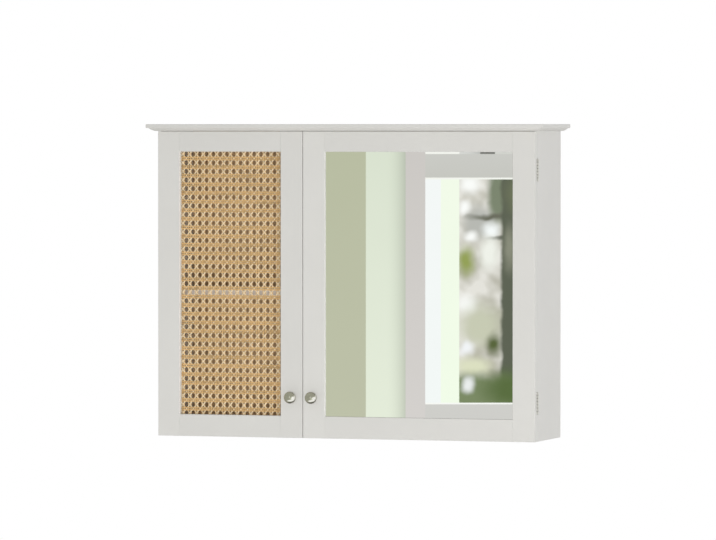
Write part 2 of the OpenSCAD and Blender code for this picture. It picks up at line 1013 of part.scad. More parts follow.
module mirror_clips() {
  color(zinc)
    at_clips()
      translate([0, 0, -clip_t])
        difference() {
          union() {
            cylinder(h = clip_t, r = clip_w / 2);
            translate([-clip_w / 2, 0, 0])
              cube([clip_w, clip_l - clip_w / 2, clip_t]);
          }
          translate([0, 0, -over])
            cylinder(h = clip_t + 2 * over, r = small_screw_r + hole_play);
        }
}

module mirror_clip_screws() {
  color(zinc)
    at_clips()
      translate([0, 0, -clip_t])
        small_screw();
}

// Knobs

// Places a knob on the front of its door, with Z pointing out of the door
module at_knob(side) {
  in_door(side)
    translate([door_w(side) - knob_inset, 0, knob_z])
      rotate([90, 0, 0])
        children();
}

// A turned knob: a low foot, a waist that flares to a thick rounded rim, and a domed face
module knob(side) {
  lip_r = 1.6;
  rim_r = knob_r - 0.4;
  dome_h = knob_reach - knob_rim_z;
  dome_r = (rim_r * rim_r + dome_h * dome_h) / (2 * dome_h);
  dome_angle = asin(rim_r / dome_r);
  rim_back_z = knob_rim_z - knob_rim_t;
  flare_end = [knob_r - lip_r, rim_back_z];
  color(nickel)
    at_knob(side)
      difference() {
        rotate_extrude()
          polygon(concat(
            [[0, 0], [knob_foot_r, 0], [knob_foot_r, knob_foot_h - 0.5], [knob_foot_r - 0.5, knob_foot_h]],
            arc_points([knob_waist_r, knob_foot_h + 0.6], flare_end, 1.1, 6),
            [
              for (turn = [-60 : 30 : 0])
                [knob_r - lip_r + lip_r * cos(turn), rim_back_z + lip_r + lip_r * sin(turn)]
            ],
            [[knob_r, knob_rim_z - 0.4]],
            [
              for (i = [0 : 8])
                let (turn = dome_angle * (1 - i / 8))
                  [dome_r * sin(turn), knob_reach - dome_r + dome_r * cos(turn)]
            ]
          ));
        translate([0, 0, -over])
          cylinder(h = knob_screw_grip + over + hole_play, r = knob_screw_r + hole_play);
      }
}

module knob_screw(side) {
  color(zinc)
    at_knob(side)
      translate([0, 0, -door_t]) {
        translate([0, 0, -knob_screw_head_h])
          cylinder(h = knob_screw_head_h, r = knob_screw_head_r);
        cylinder(h = door_t + knob_screw_grip, r = knob_screw_r);
      }
}

// Assembly

// Moves a piece from the bottom of the case to the part's own origin
module placed() {
  translate([0, 0, -frame_z])
    children();
}

placed() side_panel(-1);  // left_side_panel
placed() side_panel(1);  // right_side_panel
placed() centre_partition();
placed() bottom_panel();
placed() moulded_top();
placed() back_panel();
placed() wall_rail(upper_rail_z);  // upper_wall_rail
placed() wall_rail(lower_rail_z);  // lower_wall_rail
placed() shelf(left_bay);  // left_shelf
placed() shelf(right_bay);  // right_shelf
placed() shelf_pins(left_bay);  // left_shelf_pins
placed() shelf_pins(right_bay);  // right_shelf_pins
placed() cam_locks();
placed() cam_bolts();
placed() dowels();
placed() catch_case(-1);  // left_catch_case
placed() catch_case(1);  // right_catch_case
placed() catch_magnets();
placed() catch_screws();
placed() case_leaf(-1, 1);  // left_upper_hinge_case_leaf
placed() case_leaf(-1, 0);  // left_lower_hinge_case_leaf
placed() case_leaf(1, 1);  // right_upper_hinge_case_leaf
placed() case_leaf(1, 0);  // right_lower_hinge_case_leaf
placed() hinge_pin(-1, 1);  // left_upper_hinge_pin
placed() hinge_pin(-1, 0);  // left_lower_hinge_pin
placed() hinge_pin(1, 1);  // right_upper_hinge_pin
placed() hinge_pin(1, 0);  // right_lower_hinge_pin
placed() case_hinge_screws();
placed() stile(-1, 0);  // left_door_hinge_stile
placed() stile(-1, left_door_w - stile_w);  // left_door_lock_stile
placed() cross_rail(-1, door_h - top_rail_w, top_rail_w);  // left_door_top_rail
placed() cross_rail(-1, 0, bottom_rail_w);  // left_door_bottom_rail
placed() cane_panel();
placed() cane_side_beads();
placed() cane_end_beads();
placed() knob(-1);  // left_knob
placed() knob_screw(-1);  // left_knob_screw
placed() door_leaf(-1, 1);  // left_upper_hinge_door_leaf
placed() door_leaf(-1, 0);  // left_lower_hinge_door_leaf
placed() door_hinge_screws(-1);  // left_door_hinge_screws
placed() strike_plate(-1);  // left_strike_plate
placed() strike_screws(-1);  // left_strike_screws
placed() door_bumpers(-1);  // left_door_bumpers
placed() stile(1, 0);  // right_door_hinge_stile
placed() stile(1, right_door_w - stile_w);  // right_door_lock_stile
placed() cross_rail(1, door_h - top_rail_w, top_rail_w);  // right_door_top_rail
placed() cross_rail(1, 0, bottom_rail_w);  // right_door_bottom_rail
placed() mirror_glass();
placed() mirror_backing();
placed() mirror_clips();
placed() mirror_clip_screws();
placed() knob(1);  // right_knob
placed() knob_screw(1);  // right_knob_screw
placed() door_leaf(1, 1);  // right_upper_hinge_door_leaf
placed() door_leaf(1, 0);  // right_lower_hinge_door_leaf
placed() door_hinge_screws(1);  // right_door_hinge_screws
placed() strike_plate(1);  // right_strike_plate
placed() strike_screws(1);  // right_strike_screws
placed() door_bumpers(1);  // right_door_bumpers
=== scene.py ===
# Dresses a wall-hung bathroom cabinet: painted boards, a woven cane door, a mirror door,
# polished knobs and plated fittings, on a plain stage.
import json
import math

import bmesh
import bpy
from bpy.props import FloatProperty, FloatVectorProperty, IntProperty, PointerProperty
from mathutils import Matrix, Vector


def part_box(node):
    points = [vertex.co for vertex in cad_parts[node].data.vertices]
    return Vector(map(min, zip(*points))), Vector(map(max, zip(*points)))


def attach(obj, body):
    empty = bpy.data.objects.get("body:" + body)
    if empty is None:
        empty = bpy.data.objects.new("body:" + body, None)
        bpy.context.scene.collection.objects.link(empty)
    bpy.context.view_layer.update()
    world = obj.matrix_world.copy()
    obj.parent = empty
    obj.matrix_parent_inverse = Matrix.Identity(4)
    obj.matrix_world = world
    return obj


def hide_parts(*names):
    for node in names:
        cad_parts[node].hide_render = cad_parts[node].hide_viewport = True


bl_info = {
    "name": "Bathroom Mirror Cabinet",
    "version": (1, 0, 0),
    "blender": (4, 5, 0),
    "location": "3D View > Sidebar > Cabinet",
    "description": "Dresses a wall cabinet with a cane door and a mirror door",
    "category": "Object",
}

MM = 0.001

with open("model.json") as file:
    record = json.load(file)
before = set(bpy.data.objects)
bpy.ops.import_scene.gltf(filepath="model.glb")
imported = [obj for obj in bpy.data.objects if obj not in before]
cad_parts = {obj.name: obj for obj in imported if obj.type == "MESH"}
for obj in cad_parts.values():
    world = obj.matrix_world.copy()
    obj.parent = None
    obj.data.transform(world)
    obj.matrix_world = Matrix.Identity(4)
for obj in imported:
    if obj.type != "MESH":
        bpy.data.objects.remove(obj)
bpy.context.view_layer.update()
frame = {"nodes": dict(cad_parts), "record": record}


# Colours and nodes

def linear(hex_colour):
    """Turns an sRGB hex colour such as #D8D6D2 into linear red, green and blue."""
    channels = [int(hex_colour[i:i + 2], 16) / 255 for i in (1, 3, 5)]
    return tuple(c / 12.92 if c <= 0.04045 else ((c + 0.055) / 1.055) ** 2.4 for c in channels)


def add(tree, kind, inputs=None, stops=None, **settings):
    """Adds a shader node with its settings, and gives each input a value or a link.

    inputs maps a socket's name or number to a value, or to the socket that feeds it.
    stops are the places and colours of a colour ramp.
    """
    node = tree.nodes.new("ShaderNode" + kind)
    for name, value in settings.items():
        setattr(node, name, value)
    for key, value in (inputs or {}).items():
        if isinstance(value, bpy.types.NodeSocket):
            tree.links.new(value, node.inputs[key])
        else:
            node.inputs[key].default_value = value
    for i, (place, colour) in enumerate(stops or []):
        elements = node.color_ramp.elements
        element = elements[i] if i < 2 else elements.new(place)
        element.position = place
        element.color = (*colour, 1)
    return node


def hold(material, **constants):
    """Gives sockets of a material's Principled shader constant values, and returns the shader."""
    shader = material.node_tree.nodes["Principled BSDF"]
    for socket, value in constants.items():
        shader.inputs[socket.replace("_", " ")].default_value = value
    return shader


def new_material(name, **constants):
    """A material with a Principled shader whose sockets hold the given constants."""
    material = bpy.data.materials.new(name)
    material.use_nodes = True
    return material, material.node_tree, hold(material, **constants)


def new_glow(name):
    """A material without nodes, for a pattern that only glows."""
    material = bpy.data.materials.new(name)
    material.use_nodes = True
    material.node_tree.nodes.clear()
    return material, material.node_tree


def pattern_space(tree, scale=(1, 1, 1), turn=(0, 0, 0)):
    """Object coordinates, turned and then scaled, for a pattern."""
    place = add(tree, "TexCoord").outputs["Object"]
    turned = add(tree, "Mapping", {"Vector": place, "Rotation": turn}).outputs["Vector"]
    return add(tree, "Mapping", {"Vector": turned, "Scale": scale}).outputs["Vector"]


def link_bump(tree, shader, height, depth, strength=1.0):
    """Feeds a height pattern to a shader's normal; depth is its real depth in metres."""
    bump = add(tree, "Bump", {"Height": height, "Distance": depth, "Strength": strength})
    tree.links.new(bump.outputs["Normal"], shader.inputs["Normal"])


# Finishes. The scale of a pattern is one over the real size of its patches or grains

def satin_enamel(name, colour, grit, roughness):
    """Sprayed satin enamel on fibreboard: an even skin with a fine ripple and soft gloss."""
    material, tree, shader = new_material(name, IOR=1.5)
    space = pattern_space(tree)
    # The colour drifts by a shade over a hand's width, as sprayed coats do
    drift = add(tree, "TexNoise", {"Vector": space, "Scale": 1 / (111 * MM), "Detail": 2.0})
    shade = add(tree, "ValToRGB", {"Fac": drift.outputs["Fac"]}, stops=[
        (0.3, tuple(c * 0.975 for c in colour)), (0.7, tuple(colour))])
    tree.links.new(shade.outputs["Color"], shader.inputs["Base Color"])
    sheen = add(tree, "TexNoise", {"Vector": space, "Scale": 1 / (25 * MM), "Detail": 3.0})
    rough = add(tree, "MapRange", {
        "Value": sheen.outputs["Fac"], "To Min": roughness - 0.05, "To Max": roughness + 0.05})
    tree.links.new(rough.outputs["Result"], shader.inputs["Roughness"])
    ripple = add(tree, "TexNoise", {"Vector": space, "Scale": 1 / grit, "Detail": 2.0})
    link_bump(tree, shader, ripple.outputs["Fac"], depth=0.02 * MM, strength=0.5)
    return material


def bare_wood(name, pale, dark, grain_axis, ring_gap):
    """Planed bare wood: long grain lines along one axis, and a matt, slightly uneven surface."""
    material, tree, shader = new_material(name, IOR=1.5, Roughness=0.62)
    grain_length, fibres_per_ring = 20 * ring_gap, 7.0
    stretch = [1 / ring_gap] * 3
    stretch[grain_axis] = 1 / grain_length
    space = pattern_space(tree, tuple(stretch))
    rings = add(tree, "TexNoise", {"Vector": space, "Scale": 1.0, "Detail": 4.0, "Distortion": 0.6})
    fibres = add(tree, "TexNoise", {"Vector": space, "Scale": fibres_per_ring, "Detail": 2.0})
    both = add(tree, "Math", {
        0: rings.outputs["Fac"], 1: fibres.outputs["Fac"], 2: 0.2}, operation="MULTIPLY_ADD")
    shade = add(tree, "ValToRGB", {"Fac": both.outputs["Value"]}, stops=[
        (0.3, dark), (0.62, pale)])
    tree.links.new(shade.outputs["Color"], shader.inputs["Base Color"])
    link_bump(tree, shader, fibres.outputs["Fac"], depth=0.05 * MM, strength=0.6)
    return material


def pressed_fibre(name, colour, fleck):
    """Bare hardboard: pressed brown fibres that show as short darker flecks."""
    material, tree, shader = new_material(name, IOR=1.5, Roughness=0.7)
    space = pattern_space(tree, (1, 1, 0.35))
    flecks = add(tree, "TexNoise", {"Vector": space, "Scale": 1 / fleck, "Detail": 3.0})
    shade = add(tree, "ValToRGB", {"Fac": flecks.outputs["Fac"]}, stops=[
        (0.35, tuple(c * 0.62 for c in colour)), (0.6, tuple(colour))])
    tree.links.new(shade.outputs["Color"], shader.inputs["Base Color"])
    link_bump(tree, shader, flecks.outputs["Fac"], depth=0.05 * MM, strength=0.5)
    return material


def plated_metal(name, colour, roughness, grit):
    """Plated metal: a bright skin whose roughness shifts a little from place to place."""
    material, tree, shader = new_material(name, Metallic=1.0)
    space = pattern_space(tree)
    cloud = add(tree, "TexNoise", {"Vector": space, "Scale": 1 / grit, "Detail": 3.0})
    rough = add(tree, "MapRange", {
        "Value": cloud.outputs["Fac"], "To Min": roughness * 0.75, "To Max": roughness * 1.3})
    tree.links.new(rough.outputs["Result"], shader.inputs["Roughness"])
    shade = add(tree, "ValToRGB", {"Fac": cloud.outputs["Fac"]}, stops=[
        (0.3, tuple(c * 0.9 for c in colour)), (0.7, tuple(colour))])
    tree.links.new(shade.outputs["Color"], shader.inputs["Base Color"])
    return material


def silvered_glass(name, colour):
    """Float glass silvered behind: a clean, very slightly green reflection."""
    material, tree, shader = new_material(name, Metallic=1.0)
    space = pattern_space(tree)
    # Float glass waves by a hair over a few centimetres, too little to bend an edge visibly
    wave = add(tree, "TexNoise", {"Vector": space, "Scale": 1 / (71 * MM), "Detail": 1.0})
    tone = add(tree, "ValToRGB", {"Fac": wave.outputs["Fac"]}, stops=[
        (0.2, tuple(c * 0.99 for c in colour)), (0.8, tuple(colour))])
    tree.links.new(tone.outputs["Color"], shader.inputs["Base Color"])
    rough = add(tree, "MapRange", {
        "Value": wave.outputs["Fac"], "To Min": 0.004, "To Max": 0.010})
    tree.links.new(rough.outputs["Result"], shader.inputs["Roughness"])
    return material


def moulded_plastic(name, colour, roughness, grit):
    """Moulded plastic or rubber: one colour right through, with a fine spark-eroded grain."""
    material, tree, shader = new_material(name, IOR=1.49, Roughness=roughness)
    space = pattern_space(tree)
    # The real grain is finer, and is drawn as coarse as it needs to show
    grain = add(tree, "TexVoronoi", {"Vector": space, "Scale": 1 / grit})
    shade = add(tree, "ValToRGB", {"Fac": grain.outputs["Distance"]}, stops=[
        (0.0, tuple(colour)), (1.0, tuple(c * 0.93 for c in colour))])
    tree.links.new(shade.outputs["Color"], shader.inputs["Base Color"])
    link_bump(tree, shader, grain.outputs["Distance"], depth=0.02 * MM, strength=0.4)
    return material


def cane_peel(name, colour, strand, lean):
    """Split rattan peel: straw skin, streaked along the strand, that lets some warm light through.

    strand is its width, and lean turns the streaks about the Y axis, from upright.
    """
    material, tree, shader = new_material(name, IOR=1.5)
    tone_length, streak_length = 111 * MM, 16.67 * MM
    tones = add(tree, "TexNoise", {
        "Vector": pattern_space(tree, (0.6 / strand, 0.3 / strand, 1 / tone_length), (0, lean, 0)),
        "Scale": 1.0, "Detail": 1.0})
    streaks = add(tree, "TexNoise", {
        "Vector": pattern_space(tree, (7 / strand, 7 / strand, 1 / streak_length), (0, lean, 0)),
        "Scale": 1.0, "Detail": 3.0})
    blend = add(tree, "Math", {
        0: streaks.outputs["Fac"], 1: 0.35, 2: tones.outputs["Fac"]}, operation="MULTIPLY_ADD")
    shade = add(tree, "ValToRGB", {"Fac": blend.outputs["Value"]}, stops=[
        (0.45, tuple(c * 0.62 for c in colour)), (0.70, tuple(colour))])
    tree.links.new(shade.outputs["Color"], shader.inputs["Base Color"])
    rough = add(tree, "MapRange", {
        "Value": streaks.outputs["Fac"], "To Min": 0.38, "To Max": 0.58})
    tree.links.new(rough.outputs["Result"], shader.inputs["Roughness"])
    link_bump(tree, shader, streaks.outputs["Fac"], depth=0.06 * MM, strength=0.7)
    through = add(tree, "BsdfTranslucent", {"Color": shade.outputs["Color"]})
    peel = add(tree, "MixShader", {
        0: 0.15, 1: shader.outputs["BSDF"], 2: through.outputs["BSDF"]})
    tree.links.new(peel.outputs["Shader"], tree.nodes["Material Output"].inputs["Surface"])
    return material


# Meshes

def mesh_object(name, bm, material):
    """Turns a bmesh into an object of the scene with one material."""
    mesh = bpy.data.meshes.new(name)
    bm.to_mesh(mesh)
    bm.free()
    mesh.materials.append(material)
    thing = bpy.data.objects.new(name, mesh)
    bpy.context.scene.collection.objects.link(thing)
    return thing


def new_piece(name, bm, material, body, replaced):
    """Makes a piece from a bmesh, with its finish, its body and the CAD node it stands for."""
    piece = mesh_object(name, bm, material)
    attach(piece, body)
    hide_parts(replaced)


def shade_smooth(bm, angle):
    """Smooth faces, with edges sharper than the angle kept crisp."""
    for face in bm.faces:
        face.smooth = True
    for edge in bm.edges:
        edge.smooth = edge.calc_face_angle(0.0) < angle


def arc(centre, radius, start, end, steps):
    """Points along a circle's arc in a plane, with angles in degrees."""
    turns = [math.radians(start + (end - start) * i / steps) for i in range(steps + 1)]
    return [Vector((centre[0] + radius * math.cos(t), centre[1] + radius * math.sin(t)))
            for t in turns]


def bow(start, end, bulge, steps):
    """Points from start to end along a parabola that bows to the left by bulge."""
    along = Vector(end) - Vector(start)
    across = Vector((-along.y, along.x)).normalized()
    return [Vector(start) + along * (i / steps) + across * bulge * 4 * (i / steps) * (1 - i / steps)
            for i in range(steps + 1)]


def opening_corner(door):
    """Where the left and the upper edge of a door's opening lie, from the frame members there."""
    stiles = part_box(f"{door}_hinge_stile"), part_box(f"{door}_lock_stile")
    left = min(high[0] for _, high in stiles)
    return left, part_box(f"{door}_top_rail")[0][2]


# Settings

def length(name, description, default):
    return FloatProperty(name=name, description=description, default=default, unit="LENGTH", min=0.0)


def colour(name, description, default):
    return FloatVectorProperty(
        name=name, description=description, default=linear(default), subtype="COLOR", min=0.0, max=1.0)


class CabinetPaint(bpy.types.PropertyGroup):
    """The finishes of the boards and fittings."""
    enamel: colour("Enamel", "Satin enamel on the case and the door frames", "#D9D8D4")
    lacquer: colour("Lacquer", "Birch-coloured lacquer on the back panel", "#D9BC95")
    softwood: colour("Softwood", "Bare wood of the wall rails", "#D9BB8A")
    beech: colour("Beech", "Bare wood of the dowels", "#D8B48C")
    hardboard: colour("Hardboard", "Board behind the mirror", "#8A6443")
    nickel: colour("Nickel", "Polished plate on the knobs", "#F3F2EA")
    hinge: colour("Hinge", "Satin plate on the hinges", "#EAE9E4")
    hinge_pin: colour("Hinge pin", "Oiled steel of the hinge pins", "#585652")
    zinc: colour("Zinc", "Bright plate on the fittings", "#C3C6C8")
    silver: colour("Silver", "What the mirror gives back", "#FBFDFA")
    nylon: colour("Nylon", "Cases of the catches", "#E9E8E3")
    ferrite: colour("Ferrite", "Magnets of the catches", "#3A3A3C")
    silicone: colour("Silicone", "Bumpers on the doors", "#D9DAD6")


class CaneWeave(bpy.types.PropertyGroup):
    """The woven cane panel."""
    columns: IntProperty(name="Columns", description="Holes across the opening", default=14, min=2)
    rows: IntProperty(name="Rows", description="Holes up the opening", default=31, min=2)
    first_column: length("First column", "From the hinge edge of the opening to a hole", 9.8 * MM)
    first_row: length("First row", "From the top of the opening down to a hole", 4.9 * MM)
    column_pitch: length("Column pitch", "Between the middles of two columns", 13.8 * MM)
    row_pitch: length("Row pitch", "Between the middles of two rows", 16.62 * MM)
    strand_width: length("Strand width", "Width of an upright or crosswise strand", 2.6 * MM)
    slant_width: length("Slant width", "Width of a slanting strand", 2.2 * MM)
    pair_gap: length("Pair gap", "Between the two strands of a pair", 1.8 * MM)
    thickness: length("Thickness", "Thickness of a strand", 0.4 * MM)
    rise: length("Rise", "How far a strand rises to pass over another", 0.60 * MM)
    peel: colour("Peel", "Upright and crosswise strands", "#E5BD81")
    # Slanting strands are paler, partly their own colour and partly a painted highlight where they lie on
    # top and catch the light
    pale_highlit_peel: colour("Pale peel", "Slanting strands", "#FBE6C0")


class TurnedKnob(bpy.types.PropertyGroup):
    """The profile of a knob. Heights count from the door's face."""
    foot_radius: length("Foot radius", "Radius of the foot", 6.5 * MM)
    foot_height: length("Foot height", "Height of the foot", 1.8 * MM)
    foot_rounding: length("Foot rounding", "Rounding of the foot's edge", 0.5 * MM)
    waist_radius: length("Waist radius", "Radius of the waist where it is narrowest", 4.6 * MM)
    waist_start: length("Waist start", "Height at which the waist is narrowest", 2.4 * MM)
    waist_bow: length("Waist bow", "How far the flare from waist to rim bows out", 0.8 * MM)
    rim_thickness: length("Rim thickness", "From the rear of the rim to the top of its shoulder", 7.0 * MM)
    lip: length("Lip", "Rounding of the rim's rear edge", 1.6 * MM)
    shoulder: length("Shoulder", "Rounding between the rim and the dome", 2.0 * MM)
    dome_height: length("Dome height", "Rise of the dome over the knob's full width", 3.4 * MM)


class HingeKnuckle(bpy.types.PropertyGroup):
    """The eased knuckles of the hinge leaves."""
    fullness: length("Fullness", "How much a knuckle's radius grows past the CAD node's", 0.4 * MM)
    easing: length("Easing", "Rounding of a knuckle's ends", 1.0 * MM)


class CabinetStage(bpy.types.PropertyGroup):
    """The camera and the light."""
    azimuth: FloatProperty(
        name="Azimuth", description="Camera angle round the cabinet",
        default=math.radians(17.86), subtype="ANGLE")
    elevation: FloatProperty(
        name="Elevation", description="Camera angle above the horizon",
        default=math.radians(1.495), subtype="ANGLE")
    distance: length("Distance", "From the camera to what it looks at", 10.16)
    lens: FloatProperty(
        name="Lens", description="Focal length on a 36 mm sensor", default=271.1, min=1.0)
    daylight: FloatProperty(
        name="Daylight", description="Strength of the even light all round", default=0.50, min=0.0)
    main_lamp: FloatProperty(
        name="Main lamp", description="Power of the low soft lamp in watts", default=59.0, min=0.0)
    side_lamp: FloatProperty(
        name="Side lamp", description="Power of the lamp on the right side in watts",
        default=33.0, min=0.0)
    inner_lamp: FloatProperty(
        name="Inner lamp", description="Power of the light that filters through the cane in watts",
        default=12.0, min=0.0)
    edge_lamp: FloatProperty(
        name="Edge lamp", description="Power of the lamp on the door edges in watts",
        default=34.0, min=0.0)


# Operators

class CABINET_OT_paint_boards(bpy.types.Operator):
    """Gives every fixed and moving board and fitting its finish"""
    bl_idname = "cabinet.paint_boards"
    bl_label = "Paint Boards and Fittings"

    def execute(self, context):
        paint, look = context.scene.cabinet_paint, context.scene.cabinet_cane
        finishes = {
            "painted_board": satin_enamel(
                "satin enamel on fibreboard", paint.enamel, grit=1.6 * MM, roughness=0.42),
            "painted_hardboard": satin_enamel(
                "lacquer on hardboard", paint.lacquer, grit=0.7 * MM, roughness=0.50),
            "rail_wood": bare_wood(
                "planed spruce", tuple(paint.softwood), linear("#B08A55"), grain_axis=0, ring_gap=9 * MM),
            "woven_cane": cane_peel("cane peel", look.peel, strand=look.strand_width, lean=0.0),
            "mirror": silvered_glass("silvered float glass", paint.silver),
            "hardboard": pressed_fibre("bare hardboard", paint.hardboard, fleck=1.11 * MM),
            "knob_metal": plated_metal("polished nickel", paint.nickel, roughness=0.07, grit=4 * MM),
            "hinge_steel": plated_metal("satin nickel", paint.hinge, roughness=0.50, grit=2 * MM),
            "pin_steel": plated_metal("oiled steel", paint.hinge_pin, roughness=0.40, grit=2 * MM),
            "zinc_fittings": plated_metal("bright zinc", paint.zinc, roughness=0.26, grit=3 * MM),
            "dowel_wood": bare_wood(
                "turned beech", tuple(paint.beech), linear("#A9825C"), grain_axis=0, ring_gap=3 * MM),
            "catch_plastic": moulded_plastic(
                "moulded nylon", paint.nylon, roughness=0.45, grit=0.5 * MM),
            "magnet": moulded_plastic("ground ferrite", paint.ferrite, roughness=0.38, grit=0.4 * MM),
            "bumper": moulded_plastic("soft silicone", paint.silicone, roughness=0.30, grit=0.8 * MM),
        }
        for row in frame["record"]["subparts"]:
            node = frame["nodes"][row["node"]]
            for material_slot in node.material_slots:
                material_slot.link = "OBJECT"
                material_slot.material = finishes[row["material_slot"]]
        return {"FINISHED"}


class CABINET_OT_weave_cane(bpy.types.Operator):
    """Weaves the cane: pairs upright, pairs crosswise, and single strands slanting both ways"""
    bl_idname = "cabinet.weave_cane"
    bl_label = "Weave Cane"

    def execute(self, context):
        look = context.scene.cabinet_cane
        low, high = (Vector(corner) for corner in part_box("cane_panel"))
        left_edge, upper_edge = opening_corner("left_door")
        # The middle of the hole at the upper left, and from a pair's middle to its strands
        first = Vector((left_edge + look.first_column, (low.y + high.y) / 2,
                        upper_edge - look.first_row))
        pitch = (look.column_pitch, 0, look.row_pitch)
        strand_offset = (look.pair_gap + look.strand_width) / 2
        slope = math.atan2(look.row_pitch, look.column_pitch)

        def steps_across(axis):
            return math.ceil((high[axis] - low[axis]) / pitch[axis]) + 2

        def side_in_pair(strand_middle, axis):
            """Which of the two strands of its pair a strand is, from where it lies: -1 or 1."""
            turn = ((strand_middle[axis] - first[axis]) / pitch[axis]) % 1.0
            return -1 if turn < 0.5 else 1

        def hop(place, axis, side):
            """How far a paired strand moves where it crosses the two strands of another pair."""
            turn = ((place - first[axis]) / pitch[axis]) % 1.0 - 0.5
            return -side * look.rise / 2 * math.sin(4 * math.pi * turn) if abs(turn) < 0.25 else 0.0

        def swing(place, way):
            """How far a slanting strand swings: over the upright pairs and under the crosswise."""
            turn = (place - first.x) / pitch[0] - 0.5
            return look.rise * math.cos(2 * math.pi * turn) + way * look.thickness / 3

        def weave(name, strands, width, lift, lean, tone):
            """Lays flat strands, lifts them over and under, trims them to the panel, thickens them."""
            bm = bmesh.new()
            for middle, direction, strand_length, steps in strands:
                strand = bmesh.ops.create_grid(bm, x_segments=steps, y_segments=2, size=0.5)["verts"]
                across = direction.cross(Vector((0, 1, 0)))
                turn = Matrix((direction * strand_length, across * width, Vector((0, 1, 0)))).transposed()
                bmesh.ops.transform(
                    bm, matrix=Matrix.Translation(middle) @ turn.to_4x4(), verts=strand)
                for vert in strand:
                    crown = look.thickness * 0.5 * (
                        1 - abs((vert.co - middle).dot(across)) / (width / 2))
                    vert.co.y += lift(vert.co, middle) - crown
            for corner, way in ((low, -1), (high, 1)):
                for axis in (0, 2):
                    normal = Vector((0, 0, 0))
                    normal[axis] = way
                    bmesh.ops.bisect_plane(
                        bm, geom=bm.verts[:] + bm.edges[:] + bm.faces[:], plane_co=corner,
                        plane_no=normal, clear_outer=True)
            bmesh.ops.recalc_face_normals(bm, faces=bm.faces)
            bmesh.ops.solidify(bm, geom=bm.faces[:], thickness=look.thickness)
            bmesh.ops.recalc_face_normals(bm, faces=bm.faces)
            shade_smooth(bm, math.radians(50))
            peel = cane_peel(f"cane peel of {name}", tone, width, lean)
            new_piece(name, bm, peel, "left_door", "cane_panel")

        def pairs(axis):
            """Where the two strands of each pair lie that stand side by side along the axis."""
            count = look.columns if axis == 0 else look.rows
            sign = 1 if axis == 0 else -1
            for i in range(-1, count + 1):
                for side in (-1, 1):
                    yield first[axis] + sign * (i + 0.5) * pitch[axis] + side * strand_offset

        middle = (low + high) / 2
        steps_per_hole = 8
        rows, columns = steps_across(2), steps_across(0)
        up, along = Vector((0, 0, 1)), Vector((1, 0, 0))
        row_start = first.z - (look.rows + 1) * pitch[2]
        column_start = first.x - 2 * pitch[0]
        uprights, crosswise, leaning = [], [], {1: [], -1: []}
        upright_steps, crosswise_steps = (count * steps_per_hole for count in (rows + 2, columns + 2))
        for x in pairs(0):
            run = (rows + 2) * pitch[2]
            uprights.append((Vector((x, middle.y, row_start + run / 2)), up, run, upright_steps))
        for z in pairs(2):
            run = (columns + 2) * pitch[0]
            crosswise.append(
                (Vector((column_start + run / 2, middle.y, z)), along, run, crosswise_steps))
        for way in (1, -1):
            direction = Vector((math.cos(slope), 0, way * math.sin(slope)))
            run = (columns + 2) * pitch[0] / math.cos(slope)
            for i in range(-columns - rows, columns + rows):
                z = first.z + (i + 0.5) * pitch[2]
                start = Vector((column_start, middle.y, z))
                centre = start + direction * run / 2
                if low.z - run / 2 < centre.z < high.z + run / 2:
                    leaning[way].append((centre, direction, run, crosswise_steps))

        weave("cane_uprights", uprights, look.strand_width,
              lambda co, mid: -hop(co.z, 2, -side_in_pair(mid, 0)), 0.0, look.peel)
        weave("cane_crosswise", crosswise, look.strand_width,
              lambda co, mid: -hop(co.x, 0, side_in_pair(mid, 2)), math.pi / 2, look.peel)
        # The slants take the paler peel, partly their own colour and partly a painted highlight
        weave("cane_rising_slants", leaning[1], look.slant_width,
              lambda co, mid: -swing(co.x, 1), math.pi / 2 - slope, look.pale_highlit_peel)
        weave("cane_falling_slants", leaning[-1], look.slant_width,
              lambda co, mid: -swing(co.x, -1), slope - math.pi / 2, look.pale_highlit_peel)
        return {"FINISHED"}


